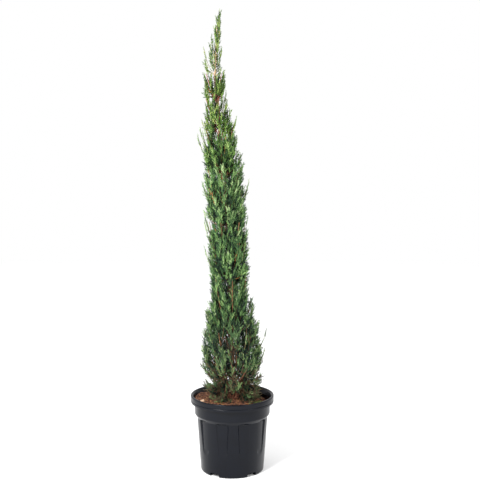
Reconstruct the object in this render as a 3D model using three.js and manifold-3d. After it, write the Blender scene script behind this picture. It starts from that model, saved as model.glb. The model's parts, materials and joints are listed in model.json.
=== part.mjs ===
// A young Italian cypress in its ribbed nursery pot, as separate named solids.
// Millimetres, +Z up. The origin is on the ground at the centre of the pot's foot, and the front is -Y.
// The plant has a frame of its own, whose ground is the top of the potting mix: its heights are named "up".
import * as THREE from "three";
import { mergeVertices } from "three/addons/utils/BufferGeometryUtils.js";
import Module from "manifold-3d";

const wasm = await Module();
wasm.setup();

// ---- Driving dimensions: pot ----
const POT_HEIGHT = 326;
const LIP_RADIUS = 177.5; // outside of the turned-over lip
const LIP_DROP = 31; // how far the lip's skirt hangs down
const MOUTH_RADIUS = 165;
const COLLAR_RADIUS = 161; // the plain band under the lip
const COLLAR_FOOT = 246; // height of the collar's lower edge
const SHOULDER_RADIUS = 151.5; // over the ribs, just under the collar
const FLUTE_TOP = 234;
const FLUTE_FOOT = 80; // the flutes have run out at this height
const FLUTE_DEPTH = 6;
const RIBS = 10;
const POT_TURN = 20; // bearing in degrees of the first rib and the first notch
const RIB_HALF_TOP = 7; // half a rib's width, in degrees, at the top of the flutes
const RIB_HALF_FOOT = 11; // and at their foot
const FLUTE_SIDE = 2; // the slope from a rib down into a flute, in degrees
const BASE_RADIUS = 135; // over the ribs, just above the foot
const BASE_CORNER = 14; // height where the wall starts
const WALL = 2.5;
const FOOT_RISE = 18; // the floor is held this far up by the foot ring
const FOOT_RING = 12; // width of the ring that stands on the ground
const FLOOR_THICKNESS = 4;
const NOTCHES = 5; // drainage notches through the foot ring
const NOTCH_WIDTH = 45;
const NOTCH_HEIGHT = 16;

// ---- Driving dimensions: potting mix ----
const SOIL_LEVEL = 299;
const SOIL_SIDES = 24;
const SOIL_SLOPE = 7; // the mix is this much higher at its -X edge, and lower at its +X edge
const SOIL_FLAT = 34; // radius of the level middle, round the trunk's foot
const GAP = 0.3; // between solids that rest on each other
const LIMB_GAP = 0.4; // round a limb, where a mass meets it

// ---- Driving dimensions: trunk and boughs ----
const TREE_HEIGHT = 1630;
const TRUNK_TOP = 1360;
const TRUNK_RADIUS = 12;
const TRUNK_TIP_RADIUS = 2.6;
const TRUNK_FLARE = 8; // what the root flare adds at the ground
const FLARE_UP = 22; // and the height in which it fades to a third
const TRUNK_SIDES = 8;
const TRUNK_HEIGHTS = [0, 10, 25, 50, 90, 180, 320, 480, 640, 800, 940, 1060, 1170, 1270, TRUNK_TOP];
const BOUGH_RADIUS = 4.6;
const BOUGH_TIP_RADIUS = 3.2;
const BOUGH_SIDES = 5;
const BOUGH_BEND = { share: 0.35, out: 0.6 }; // where a bough bends: share of its rise, and of its reach

// Where each tier's boughs leave the trunk above the tier's foot, how high they end, and how far out.
// Every other bough leaves "step" higher, and ends "tipStep" higher.
const BOUGHS = {
  skirt: { up: 16, step: 26, rise: 62, tipStep: 30, reach: 50 },
  lower: { up: 20, step: 24, rise: 62, tipStep: 24, reach: 30 },
};

// The crown's outline from its foot to its tip: height up, radius, and how far its middle leans to +X.
const CROWN = [
  { up: 20, radius: 106, lean: 3 },
  { up: 130, radius: 132, lean: 0 },
  { up: 290, radius: 128, lean: -4 },
  { up: 400, radius: 95, lean: -8 },
  { up: 510, radius: 78, lean: -11 },
  { up: 620, radius: 86, lean: -14 },
  { up: 940, radius: 84, lean: -28 },
  { up: 1080, radius: 75, lean: -46 },
  { up: 1200, radius: 58, lean: -58 },
  { up: 1330, radius: 46, lean: -70 },
  { up: 1440, radius: 38, lean: -74 },
  { up: 1540, radius: 19, lean: -65 },
  { up: TREE_HEIGHT, radius: 5, lean: -52 },
];

// Each tier is a ring of flame-shaped masses, whose underside leaves the trunk at "rises" and curls up.
// turn is the bearing of the first mass in degrees, and twigs is how many each mass carries.
const TIERS = [
  { name: "skirt", count: 8, rises: 0, turn: 14, twigs: 6, boughs: true, cored: true },
  { name: "lower", count: 6, rises: 165, turn: 40, twigs: 5, boughs: true, cored: true },
  { name: "waist", count: 6, rises: 400, turn: 70, twigs: 6, boughs: false, cored: true },
  { name: "belly", count: 6, rises: 640, turn: 22, twigs: 6, boughs: false, cored: true },
  { name: "upper", count: 5, rises: 870, turn: 50, twigs: 6, boughs: false, cored: true },
  { name: "neck", count: 4, rises: 1070, turn: 15, twigs: 6, boughs: false, cored: true },
  { name: "spire", count: 3, rises: 1225, turn: 80, twigs: 7, boughs: false, cored: true },
  { name: "leader", count: 1, rises: 1335, turn: 0, twigs: 16, boughs: false, cored: false },
];
const RISE = 0.9; // slope of a tier's underside where it leaves the trunk
const CURL = 72; // the smaller this is, the sooner the underside turns upright
const SKIRT_FLOOR = 10; // the lowest sprays hang this far above the potting mix
const SKIRT_INSIDE = 46; // the skirt's masses keep outside this radius, where the boughs show
const SPACE_MARGIN = 2; // what a mass keeps from the sides of its space
const LIMB_MARGIN = 3; // and what its twigs and sprays keep from limbs
const CORE_OUTLINE = 0.92; // how far out towards the crown's outline a mass's core comes
const CORE_MARGIN = 4; // what it keeps from the undersides
const CORE_SPREAD = 0.74; // how much of its sector it fills
const CORE_TOP = 0.97; // share of the height of its space's face where a core stops
const CORE_START = 0.42; // share of the way up from where a tier leaves the trunk to where its face begins
const CORE_FOOT = 95; // the skirt's cores start this far up, so that the boughs show under them
const CORE_SIDES = 6;
const CORE_SWELL = [0.6, 1, 1, 0.95, 0.6]; // its section at each level, from its foot to its top
const CORE_LEVELS = CORE_SWELL.length;
const STEM_RADIUS = 2.8;
const STEM_SIDES = 3;
const STEM_TIP = 0.8; // share of the height of its space's face where a mass's stem ends
const STEM_ROOTS = { first: 0.1, spread: 0.3 }; // where stems leave the trunk, as shares of their tier
const LEADER_BARE = 60; // the leader's stem ends this far under its tip
const LEADER_FOOT = 30; // and its lowest spray ends this far over the trunk's top
const LIMB_STEPS = 3; // pieces that a bough or stem is bent in
const TWIG_RADIUS = 1.7;
const TWIG_FIRST = { bough: 0.06, trunk: 0.28 }; // share of the stem that has no twigs, by what bears it
const TWIG_STEP = 0.04;
const TWIG_CLIMB = 1.4; // a twig rises at least this much for each unit that it goes out
const TWIG_SPREAD = 0.8; // share of a mass's sector that its twigs' tips spread over
const TWIG_REACH = { least: 0.98, more: 0.16 }; // where twigs end, as shares of the crown's radius
const SIDE_SPRAY = { root: 0.45, turn: 0.28, more: 0.14, length: 0.9 };
const SPRAY_LENGTH = 112;
const SPRAY_WIDTH = 24;
const SPRAY_THICKNESS = 13;
const SPRAY_WIDEST = 0.4; // share of its length where a spray is widest
const SPRAY_OUT = 0.24; // how far a spray leans out for each unit that it rises
const FOOT_SPRAY_OUT = 1.3; // and at the foot of the crown, where sprays lie over
const FOOT_SPRAYS = 230; // height up where they stand as the rest do
const SPRAY_LENGTHS = { least: 0.85, more: 0.3, ofTwig: 0.8 }; // shares of SPRAY_LENGTH, and of its twig
const GOLDEN_RATIO = 0.618034;

const { lerp, degToRad, clamp } = THREE.MathUtils;
const UP = new THREE.Vector3(0, 0, 1);
const COLOURS = {
  pot: 0x1d2024,
  soil: 0x5b4030,
  bark: 0x6e5443,
  foliage: [0x2f4a35, 0x35533a, 0x3b5a3d, 0x42633f, 0x4b6c42, 0x5b7a49, 0x6f8c52, 0x86a05f],
};

// ---- Solids ----

// A repeatable number from 0 to 1 for each seed.
function chance(seed) {
  const wave = Math.sin(seed * 127.1 + 311.7) * 43758.5453;
  return wave - Math.floor(wave);
}

// Moves each vertex of a geometry to where place(vertex, index) says.
function reshape(geometry, place) {
  const position = geometry.getAttribute("position");
  for (let i = 0; i < position.count; i++) {
    const moved = place(new THREE.Vector3().fromBufferAttribute(position, i), i);
    position.setXYZ(i, moved.x, moved.y, moved.z);
  }
  return geometry;
}

// A geometry as a solid, with its shared vertices merged and its flattened triangles left out.
function solidOf(geometry) {
  const bare = geometry.clone();
  bare.deleteAttribute("normal");
  bare.deleteAttribute("uv");
  const merged = mergeVertices(bare, 1e-4);
  const corners = merged.index.array;
  const kept = [];
  for (let i = 0; i < corners.length; i += 3) {
    const [a, b, c] = corners.slice(i, i + 3);
    if (a !== b && b !== c && c !== a) {
      kept.push(a, b, c);
    }
  }
  const vertProperties = merged.getAttribute("position").array;
  return new wasm.Manifold(new wasm.Mesh({ numProp: 3, vertProperties, triVerts: new Uint32Array(kept) }));
}

function geometryOf(solid) {
  const mesh = solid.getMesh();
  const geometry = new THREE.BufferGeometry();
  geometry.setAttribute("position", new THREE.BufferAttribute(mesh.vertProperties, mesh.numProp));
  geometry.setIndex(new THREE.BufferAttribute(mesh.triVerts, 1));
  geometry.computeVertexNormals();
  return geometry;
}

// The largest body of a solid, without the scraps that a cut leaves.
function wholeOf(solid) {
  return solid.decompose().reduce((a, b) => (b.volume() > a.volume() ? b : a));
}

// A solid of rings: a lathe turned from stations { radius, z }, each corner then put where place says.
function ringed(stations, corners, place) {
  const profile = stations.map((station) => new THREE.Vector2(station.radius, station.z));
  const lathe = new THREE.LatheGeometry(profile, corners);
  return reshape(lathe, (vertex, index) => {
    const corner = Math.floor(index / stations.length) % corners;
    return place(stations[index % stations.length], corner);
  });
}

// A tapering limb of round section along a curve. radiusAt takes the share of the way along it.
function limb(curve, radiusAt, sides, steps) {
  const rod = new THREE.CylinderGeometry(1, 1, 1, sides, steps);
  return reshape(rod, (vertex) => {
    const share = vertex.y + 0.5;
    const along = curve.getTangent(share);
    const across = new THREE.Vector3(0, 1, 0).cross(along).normalize();
    const beside = new THREE.Vector3().crossVectors(across, along);
    const radius = radiusAt(share);
    const middle = curve.getPoint(share);
    return middle.addScaledVector(across, vertex.x * radius).addScaledVector(beside, vertex.z * radius);
  });
}

// Half a spray's width and thickness at its widest: a short one is stouter for its length.
function halfSection(length) {
  const half = lerp(0.5, 1, Math.min(length / SPRAY_LENGTH, 1)) / 2;
  return { wide: SPRAY_WIDTH * half, thick: SPRAY_THICKNESS * half };
}

// A three-sided blade through three rings { at, wide, thick }, with its keel towards face.
function blade(rings, along, face) {
  const across = new THREE.Vector3().crossVectors(along, face).normalize();
  const keel = new THREE.Vector3().crossVectors(across, along);
  return reshape(new THREE.CylinderGeometry(1, 1, 1, 3, 2), (vertex) => {
    const { at, wide, thick } = rings[Math.round((vertex.y + 0.5) * 2)];
    return at.clone().addScaledVector(across, vertex.x * wide).addScaledVector(keel, vertex.z * thick);
  });
}

// A twig that swells into a spray of scale leaves and runs out to a point.
function twigWithSpray({ start, bend, target, out, length }) {
  const root = { at: start, wide: TWIG_RADIUS, thick: TWIG_RADIUS };
  const widest = { at: bend.clone().lerp(target, SPRAY_WIDEST), ...halfSection(length) };
  const along = new THREE.Vector3().subVectors(target, start).normalize();
  return blade([root, widest, { at: target, wide: 0, thick: 0 }], along, out);
}

// A spray that stands on a twig: it starts from a point inside the twig.
function sideSpray({ root, along, tip, length }, face) {
  const point = { wide: 0, thick: 0 };
  const widest = { at: root.clone().lerp(tip, SPRAY_WIDEST), ...halfSection(length) };
  return blade([{ at: root, ...point }, widest, { at: tip, ...point }], along, face);
}

function named(name, geometry, color, roughness) {
  const material = new THREE.MeshStandardMaterial({ color, roughness, metalness: 0 });
  const mesh = new THREE.Mesh(geometry, material);
  mesh.name = name;
  return mesh;
}

// ---- Pot ----

const PITCH = (2 * Math.PI) / RIBS;
const CORNERS_PER_RIB = 6;
const FIRST_IN_FLUTE = 3; // this corner of a rib and the ones after it lie in the flute

// The bearing of a corner of the pot: the edges and middle of a rib, then those of the flute beside it.
function potBearing(corner, z) {
  const share = clamp((z - FLUTE_FOOT) / (FLUTE_TOP - FLUTE_FOOT), 0, 1);
  const edge = degToRad(lerp(RIB_HALF_FOOT, RIB_HALF_TOP, share));
  const side = degToRad(FLUTE_SIDE);
  const within = [-edge, 0, edge, edge + side, PITCH / 2, PITCH - edge - side];
  const rib = Math.floor(corner / CORNERS_PER_RIB);
  return degToRad(POT_TURN) + rib * PITCH + within[corner % CORNERS_PER_RIB];
}

const INNER_SHOULDER = SHOULDER_RADIUS - FLUTE_DEPTH - WALL;
const INNER_BASE = BASE_RADIUS - WALL - 1.5;
const INNER_COLLAR = COLLAR_RADIUS - WALL;
const INNER_SHOULDER_TOP = FLUTE_TOP + WALL; // the inside stays narrow past the flutes' upper ends
const INNER_COLLAR_FOOT = COLLAR_FOOT + 6;

// The pot's section: from the middle of its underside up its outside, over the lip and down to its floor.
function potStations() {
  const ringOutside = BASE_RADIUS - 5;
  const ringInside = ringOutside - FOOT_RING;
  const lipFoot = POT_HEIGHT - LIP_DROP;
  const taper = (SHOULDER_RADIUS - BASE_RADIUS) / (FLUTE_TOP - BASE_CORNER);
  const skirtInside = LIP_RADIUS - WALL;
  return [
    { radius: 0, z: FOOT_RISE },
    { radius: ringInside - 2, z: FOOT_RISE },
    { radius: ringInside, z: 0 },
    { radius: ringOutside, z: 0 },
    { radius: BASE_RADIUS - 1.5, z: 5 },
    { radius: BASE_RADIUS, z: BASE_CORNER },
    { radius: BASE_RADIUS + taper * (FLUTE_FOOT - BASE_CORNER), z: FLUTE_FOOT },
    { radius: SHOULDER_RADIUS, z: FLUTE_TOP, flute: FLUTE_DEPTH },
    { radius: SHOULDER_RADIUS + 2, z: FLUTE_TOP + 2 },
    { radius: COLLAR_RADIUS - 1, z: COLLAR_FOOT },
    { radius: COLLAR_RADIUS, z: lipFoot + 6 },
    { radius: COLLAR_RADIUS + 6, z: POT_HEIGHT - 9 },
    { radius: skirtInside, z: POT_HEIGHT - 11 },
    { radius: skirtInside, z: lipFoot + 1 },
    { radius: LIP_RADIUS, z: lipFoot },
    { radius: LIP_RADIUS, z: POT_HEIGHT - 8 },
    { radius: LIP_RADIUS - 3, z: POT_HEIGHT - 1.5 },
    { radius: LIP_RADIUS - 7, z: POT_HEIGHT },
    { radius: MOUTH_RADIUS, z: POT_HEIGHT - 5 },
    { radius: INNER_COLLAR, z: lipFoot + 6 },
    { radius: INNER_COLLAR, z: INNER_COLLAR_FOOT },
    { radius: INNER_SHOULDER, z: INNER_SHOULDER_TOP },
    { radius: INNER_BASE, z: FOOT_RISE + FLOOR_THICKNESS },
    { radius: 0, z: FOOT_RISE + FLOOR_THICKNESS },
  ];
}

function makePot() {
  const turned = ringed(potStations(), RIBS * CORNERS_PER_RIB, (station, corner) => {
    const inFlute = corner % CORNERS_PER_RIB >= FIRST_IN_FLUTE;
    const radius = station.radius - (inFlute ? (station.flute ?? 0) : 0);
    const bearing = potBearing(corner, station.z);
    return new THREE.Vector3(radius * Math.cos(bearing), radius * Math.sin(bearing), station.z);
  });
  let pot = solidOf(turned);
  for (let k = 0; k < NOTCHES; k++) {
    const notch = new THREE.BoxGeometry(60, NOTCH_WIDTH, 2 * NOTCH_HEIGHT);
    notch.translate(BASE_RADIUS, 0, 0);
    notch.rotateZ(degToRad(POT_TURN) + (k * 2 * Math.PI) / NOTCHES);
    pot = pot.subtract(solidOf(notch));
  }
  return named("pot", geometryOf(wholeOf(pot)), COLOURS.pot, 0.45);
}

// ---- Potting mix ----

// It fills the pot's inside, a little clear of the wall's flat facets all round.
function makeSoil() {
  const widestFacetHalf = degToRad(RIB_HALF_FOOT / 2);
  const fit = (radius) => radius * Math.cos(widestFacetHalf) - GAP;
  const edge = fit(INNER_COLLAR);
  const floor = FOOT_RISE + FLOOR_THICKNESS + GAP;
  const stations = [
    { radius: 0, z: floor },
    { radius: fit(INNER_BASE), z: floor },
    { radius: fit(INNER_SHOULDER) - GAP, z: INNER_SHOULDER_TOP + GAP },
    { radius: edge, z: INNER_COLLAR_FOOT + GAP },
    { radius: edge, z: SOIL_LEVEL, slope: 1 },
    { radius: edge * 0.6, z: SOIL_LEVEL + 2, slope: 0.5 },
    { radius: SOIL_FLAT, z: SOIL_LEVEL },
    { radius: 0, z: SOIL_LEVEL },
  ];
  const heap = ringed(stations, SOIL_SIDES, (station, corner) => {
    const bearing = (corner * 2 * Math.PI) / SOIL_SIDES;
    const lift = -Math.cos(bearing) * SOIL_SLOPE * (station.slope ?? 0);
    const x = station.radius * Math.cos(bearing);
    const y = station.radius * Math.sin(bearing);
    return new THREE.Vector3(x, y, station.z + lift);
  });
  return named("potting_mix", geometryOf(solidOf(heap)), COLOURS.soil, 0.95);
}

// ---- Crown's outline ----

// A value of CROWN at a height, eased from station to station.
function crownAt(up, key) {
  const height = clamp(up, CROWN[0].up, TREE_HEIGHT);
  const above = Math.max(1, CROWN.findIndex((station) => station.up >= height));
  const from = CROWN[above - 1];
  const to = CROWN[above];
  const share = (height - from.up) / (to.up - from.up);
  return lerp(from[key], to[key], share * share * (3 - 2 * share));
}

// The point of the plant at a height, a bearing, and a distance from the crown's middle.
function crownPoint(up, radius, bearing) {
  return new THREE.Vector3(crownAt(up, "lean") + radius * Math.cos(bearing), radius * Math.sin(bearing), up);
}

// How far an underside has risen at a distance from the crown's middle, and the distance for such a rise.
const curl = (radius) => radius * RISE + (radius * radius) / CURL;
const uncurl = (rise) => (CURL / 2) * (Math.sqrt(RISE * RISE + (4 * Math.max(rise, 0)) / CURL) - RISE);

// ---- Trunk ----

function trunkRadius(up) {
  const taper = lerp(TRUNK_RADIUS, TRUNK_TIP_RADIUS, clamp(up / TRUNK_TOP, 0, 1));
  return taper + TRUNK_FLARE * Math.exp(-up / FLARE_UP);
}

function trunkSolid(clearance) {
  const stations = TRUNK_HEIGHTS.map((up) => ({ radius: trunkRadius(up) + clearance, z: up }));
  stations[0].z = GAP - clearance;
  stations.at(-1).z = TRUNK_TOP + clearance;
  stations.unshift({ radius: 0, z: stations[0].z });
  stations.push({ radius: 0, z: stations.at(-1).z });
  const turned = ringed(stations, TRUNK_SIDES, (station, corner) => {
    return crownPoint(station.z, station.radius, (corner * 2 * Math.PI) / TRUNK_SIDES);
  });
  return solidOf(turned);
}

// ---- Masses ----

// The space that one mass keeps to: a sector of its tier, from its own curled underside to the next tier's.
function spaceOf(tierIndex, index) {
  const tier = TIERS[tierIndex];
  const isSkirt = tierIndex === 0;
  const isLeader = tier.count === 1;
  const floor = isSkirt ? SKIRT_FLOOR : 0;
  const ceiling = isLeader ? TREE_HEIGHT : TIERS[tierIndex + 1].rises;
  return {
    tier,
    isSkirt,
    isLeader,
    seed: tierIndex * 1000 + index * 50,
    rootShare: STEM_ROOTS.first + STEM_ROOTS.spread * ((index * GOLDEN_RATIO) % 1),
    bearing: degToRad(tier.turn + (index * 360) / tier.count),
    half: Math.PI / tier.count,
    floor,
    ceiling,
    low: isSkirt ? floor : outlineCut(tier.rises),
    high: isLeader ? TREE_HEIGHT : outlineCut(ceiling),
  };
}

// The height where an underside that leaves the trunk at "rises" cuts the crown's outline.
function outlineCut(rises) {
  let up = rises;
  for (let step = 0; step < 20; step++) {
    up = lerp(up, rises + curl(crownAt(up, "radius")), 0.5);
  }
  return up;
}

// Whether a point keeps the margin inside a mass's space.
function isInside(space, point) {
  const x = point.x - crownAt(point.z, "lean");
  const radius = Math.hypot(x, point.y);
  const turned = Math.atan2(point.y, x) - space.bearing;
  const off = Math.abs(Math.atan2(Math.sin(turned), Math.cos(turned)));
  const side = space.isLeader ? SPACE_MARGIN : radius * Math.sin(space.half - off);
  const slant = SPACE_MARGIN * Math.hypot(1, RISE + (2 * radius) / CURL);
  const level = point.z - curl(radius);
  const isUnder = space.isLeader ? point.z <= space.ceiling : level <= space.ceiling - slant;
  const isAboveOwn = level >= space.tier.rises + slant;
  const isOver = space.isSkirt ? point.z >= space.floor && radius >= SKIRT_INSIDE : isAboveOwn;
  return isOver && isUnder && side >= SPACE_MARGIN;
}

// How far from the crown's middle a mass's space reaches at a height, from its inner face to its outer face.
function sectionOf(space, up) {
  const outline = crownAt(up, "radius");
  const inner = space.isLeader ? 0 : uncurl(up - space.ceiling);
  const outer = space.isSkirt ? outline : Math.min(outline, uncurl(up - space.tier.rises));
  return { inner: space.isSkirt ? Math.max(inner, SKIRT_INSIDE) : inner, outer };
}

// A mass's stem: it leaves its bough or the trunk, and curls out and up as the undersides do.
function stemCurve(space, bough) {
  if (space.isLeader) {
    const root = crownPoint(TRUNK_TOP + LIMB_GAP, 0, 0);
    const tip = crownPoint(TREE_HEIGHT - LEADER_BARE, 0, 0);
    return new THREE.QuadraticBezierCurve3(root, root.clone().lerp(tip, 0.5), tip);
  }
  const tipUp = lerp(space.low, space.high, STEM_TIP);
  const { inner, outer } = sectionOf(space, tipUp);
  const tipRadius = (inner + outer) / 2;
  const tip = crownPoint(tipUp, tipRadius, space.bearing);
  const rootRadius = bough ? BOUGHS[space.tier.name].reach : 0;
  const rootUp = bough ? bough.v2.z : lerp(space.tier.rises, space.ceiling, space.rootShare);
  const root = crownPoint(rootUp, 0, 0);
  if (bough) {
    root.copy(bough.v2).addScaledVector(bough.getTangent(1), LIMB_GAP);
  }
  const span = tipRadius - rootRadius;
  const climb = (tipUp - curl(tipRadius) - rootUp + curl(rootRadius)) / span;
  const slope = RISE + (2 * rootRadius) / CURL + climb;
  const bend = crownPoint(rootUp + (slope * span) / 2, rootRadius + span / 2, space.bearing);
  return new THREE.QuadraticBezierCurve3(root, bend, tip);
}

// Where on its stem a twig starts: as high as still lets it rise a spray's length to its target.
function twigStart(space, stem, target) {
  const first = space.tier.boughs || space.isLeader ? TWIG_FIRST.bough : TWIG_FIRST.trunk;
  let start = stem.getPoint(first);
  for (let share = first; share < 1 - TWIG_STEP; share += TWIG_STEP) {
    const point = stem.getPoint(share);
    const away = Math.hypot(target.x - point.x, target.y - point.y);
    if (target.z - point.z > Math.max(away * TWIG_CLIMB, SPRAY_LENGTH)) {
      start = point;
    }
  }
  return start;
}

// The twigs of a mass: each grows to its own place on the crown's outline, spread over the mass's face.
function twigsOf(space, stem) {
  const amount = space.tier.twigs;
  const low = space.isLeader ? TRUNK_TOP + LEADER_FOOT : space.low;
  const twigs = [];
  for (let k = 0; k < amount; k++) {
    const seed = space.seed + k;
    const share = space.isLeader ? k / (amount - 1) : (k + 0.35 + 0.5 * chance(seed)) / amount;
    const up = lerp(low, space.high, share);
    const off = ((k * GOLDEN_RATIO + chance(space.seed + 0.5)) % 1) * 2 - 1;
    const reach = TWIG_REACH.least + TWIG_REACH.more * chance(seed + 0.25);
    const bearing = space.bearing + off * space.half * (space.isLeader ? 1 : TWIG_SPREAD);
    const target = crownPoint(up, crownAt(up, "radius") * reach, bearing);
    const lies = clamp(1 - up / FOOT_SPRAYS, 0, 1);
    const out = new THREE.Vector3(Math.cos(bearing), Math.sin(bearing), 0);
    const along = out.clone().multiplyScalar(lerp(SPRAY_OUT, FOOT_SPRAY_OUT, lies)).add(UP).normalize();
    const start = twigStart(space, stem, target);
    const fullLength = SPRAY_LENGTH * (SPRAY_LENGTHS.least + SPRAY_LENGTHS.more * chance(seed + 0.75));
    const length = Math.min(fullLength, start.distanceTo(target) * SPRAY_LENGTHS.ofTwig);
    const bend = target.clone().addScaledVector(along, -length);
    twigs.push({ seed, start, bend, target, along, out, length, side: k % 2 === 0 ? 1 : -1 });
  }
  return twigs;
}

// The side spray of a twig, on one side and then the other, lower down than the spray that the twig ends in.
function sideSprayOf({ start, bend, along, out, length, seed, side }) {
  const beside = new THREE.Vector3().crossVectors(out, UP);
  const turn = side * (SIDE_SPRAY.turn + SIDE_SPRAY.more * chance(seed + 0.9));
  const turned = along.clone().addScaledVector(beside, turn).normalize();
  const root = start.clone().lerp(bend, SIDE_SPRAY.root);
  const own = length * SIDE_SPRAY.length;
  return { root, along: turned, tip: root.clone().addScaledVector(turned, own), length: own };
}

// Whether a spray keeps to the space, by its corners and its middle line, and to its side of the boughs.
function isClear(space, geometry, from, to, boughSpots) {
  const position = geometry.getAttribute("position");
  const spot = new THREE.Vector3();
  for (let i = 0; i < position.count; i++) {
    if (!isInside(space, spot.fromBufferAttribute(position, i))) {
      return false;
    }
  }
  const reach = LIMB_MARGIN + BOUGH_RADIUS + SPRAY_WIDTH / 2;
  for (let step = 1; step < 8; step++) {
    spot.lerpVectors(from, to, step / 8);
    if (!isInside(space, spot) || (step > 3 && boughSpots.some((limb) => limb.distanceTo(spot) < reach))) {
      return false;
    }
  }
  return true;
}

// The dense inside of a mass: hexagons that follow its space up from the trunk to the crown's face.
function coreOf(space) {
  const foot = space.isSkirt ? CORE_FOOT : lerp(space.tier.rises, space.low, CORE_START);
  const stations = [];
  for (let step = 0; step < CORE_LEVELS; step++) {
    const up = lerp(foot, lerp(space.low, space.high, CORE_TOP), step / (CORE_LEVELS - 1));
    const { inner, outer } = sectionOf(space, up);
    const back = inner + CORE_MARGIN;
    const reach = Math.min(outer - CORE_MARGIN, crownAt(up, "radius") * CORE_OUTLINE);
    const face = Math.max(back + CORE_MARGIN, reach);
    const depth = ((face - back) / 2) * CORE_SWELL[step];
    const spread = space.half * CORE_SPREAD * CORE_SWELL[step];
    stations.push({ radius: 1, z: up, middle: (back + face) / 2, depth, spread });
  }
  const ends = [stations[0], stations.at(-1)].map((end) => ({ ...end, radius: 0, depth: 0, spread: 0 }));
  const core = ringed([ends[0], ...stations, ends[1]], CORE_SIDES, (station, corner) => {
    const around = (corner * 2 * Math.PI) / CORE_SIDES;
    const radius = station.middle + station.depth * Math.cos(around);
    return crownPoint(station.z, radius, space.bearing + station.spread * Math.sin(around));
  });
  return solidOf(core);
}

// One mass: its stem, its core, and each twig that keeps to the space, with the sprays that do.
function makeMass(space, stem, boughSpots, cuts) {
  const stemRadius = (share) => lerp(STEM_RADIUS, TWIG_RADIUS, share);
  const parts = [solidOf(limb(stem, stemRadius, STEM_SIDES, LIMB_STEPS))];
  if (space.tier.cored) {
    parts.push(coreOf(space));
  }
  for (const twig of twigsOf(space, stem)) {
    const grown = twigWithSpray(twig);
    if (!isClear(space, grown, twig.start, twig.target, boughSpots)) {
      continue;
    }
    parts.push(solidOf(grown));
    const side = sideSprayOf(twig);
    const spray = sideSpray(side, twig.out);
    if (isClear(space, spray, side.root, side.tip, boughSpots)) {
      parts.push(solidOf(spray));
    }
  }
  const mass = cuts.reduce((solid, cut) => solid.subtract(cut), wasm.Manifold.union(parts));
  return geometryOf(wholeOf(mass));
}

// ---- Boughs ----

// A bough of the skirt or of the tier over it: from the trunk's middle out to where its mass begins.
function boughCurve(space, index) {
  const { tier } = space;
  const stagger = index % 2;
  const { up, step, rise, tipStep, reach } = BOUGHS[tier.name];
  const rootUp = tier.rises + up + stagger * step;
  const tipUp = tier.rises + up + rise + stagger * tipStep;
  const root = crownPoint(rootUp, 0, 0);
  const bend = crownPoint(lerp(rootUp, tipUp, BOUGH_BEND.share), reach * BOUGH_BEND.out, space.bearing);
  const tip = crownPoint(tipUp, reach, space.bearing);
  return new THREE.QuadraticBezierCurve3(root, bend, tip);
}

function boughSolid(curve, clearance) {
  const end = curve.getPoint(1).addScaledVector(curve.getTangent(1), clearance);
  const grown = new THREE.QuadraticBezierCurve3(curve.v0, curve.v1, end);
  const radiusAt = (share) => lerp(BOUGH_RADIUS, BOUGH_TIP_RADIUS, share) + clearance;
  return solidOf(limb(grown, radiusAt, BOUGH_SIDES, LIMB_STEPS));
}

// ---- Assembly ----

const cypress = new THREE.Group();
const container = new THREE.Group();
container.add(makePot(), makeSoil());
cypress.add(container);

const plant = new THREE.Group();
plant.position.z = SOIL_LEVEL;
cypress.add(plant);

const trunkCut = trunkSolid(LIMB_GAP);
plant.add(named("trunk", geometryOf(trunkSolid(0)), COLOURS.bark, 0.9));

const masses = TIERS.flatMap((tier, tierIndex) =>
  Array.from({ length: tier.count }, (_, index) => {
    const space = spaceOf(tierIndex, index);
    const bough = tier.boughs ? boughCurve(space, index) : null;
    return { space, bough, name: `${tier.name}_${index + 1}` };
  }),
);
const boughSpots = masses.flatMap((mass) => (mass.bough ? mass.bough.getPoints(12) : []));

for (const { bough, name } of masses.filter((mass) => mass.bough)) {
  const solid = wholeOf(boughSolid(bough, 0).subtract(trunkCut));
  plant.add(named(`bough_${name}`, geometryOf(solid), COLOURS.bark, 0.9));
}

for (const { space, name, bough } of masses) {
  const cuts = bough ? [trunkCut, boughSolid(bough, LIMB_GAP)] : [trunkCut];
  const geometry = makeMass(space, stemCurve(space, bough), boughSpots, cuts);
  plant.add(named(`foliage_${name}`, geometry, COLOURS.foliage[TIERS.indexOf(space.tier)], 0.8));
}

export default cypress;
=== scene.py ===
import json
import math
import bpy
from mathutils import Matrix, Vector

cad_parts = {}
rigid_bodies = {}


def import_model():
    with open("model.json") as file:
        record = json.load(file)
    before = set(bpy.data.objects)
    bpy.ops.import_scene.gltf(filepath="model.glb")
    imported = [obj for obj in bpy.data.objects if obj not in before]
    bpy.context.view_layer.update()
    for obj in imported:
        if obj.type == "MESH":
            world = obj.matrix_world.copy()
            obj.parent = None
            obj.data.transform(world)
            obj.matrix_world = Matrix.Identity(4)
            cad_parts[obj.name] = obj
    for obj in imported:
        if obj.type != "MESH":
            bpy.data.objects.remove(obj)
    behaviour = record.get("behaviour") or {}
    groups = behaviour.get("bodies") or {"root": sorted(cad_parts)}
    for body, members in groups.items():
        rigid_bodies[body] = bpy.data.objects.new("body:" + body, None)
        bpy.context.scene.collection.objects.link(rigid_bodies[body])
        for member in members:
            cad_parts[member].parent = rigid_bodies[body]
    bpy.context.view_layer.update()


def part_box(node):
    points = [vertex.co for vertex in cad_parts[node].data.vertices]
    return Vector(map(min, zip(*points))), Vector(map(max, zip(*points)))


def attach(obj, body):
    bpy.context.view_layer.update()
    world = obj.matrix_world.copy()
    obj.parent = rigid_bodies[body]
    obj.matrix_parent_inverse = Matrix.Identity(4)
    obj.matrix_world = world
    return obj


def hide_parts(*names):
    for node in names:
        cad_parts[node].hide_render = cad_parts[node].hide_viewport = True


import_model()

from types import SimpleNamespace

import bmesh
import bpy
import numpy as np
from mathutils import Matrix, Vector, noise

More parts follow.
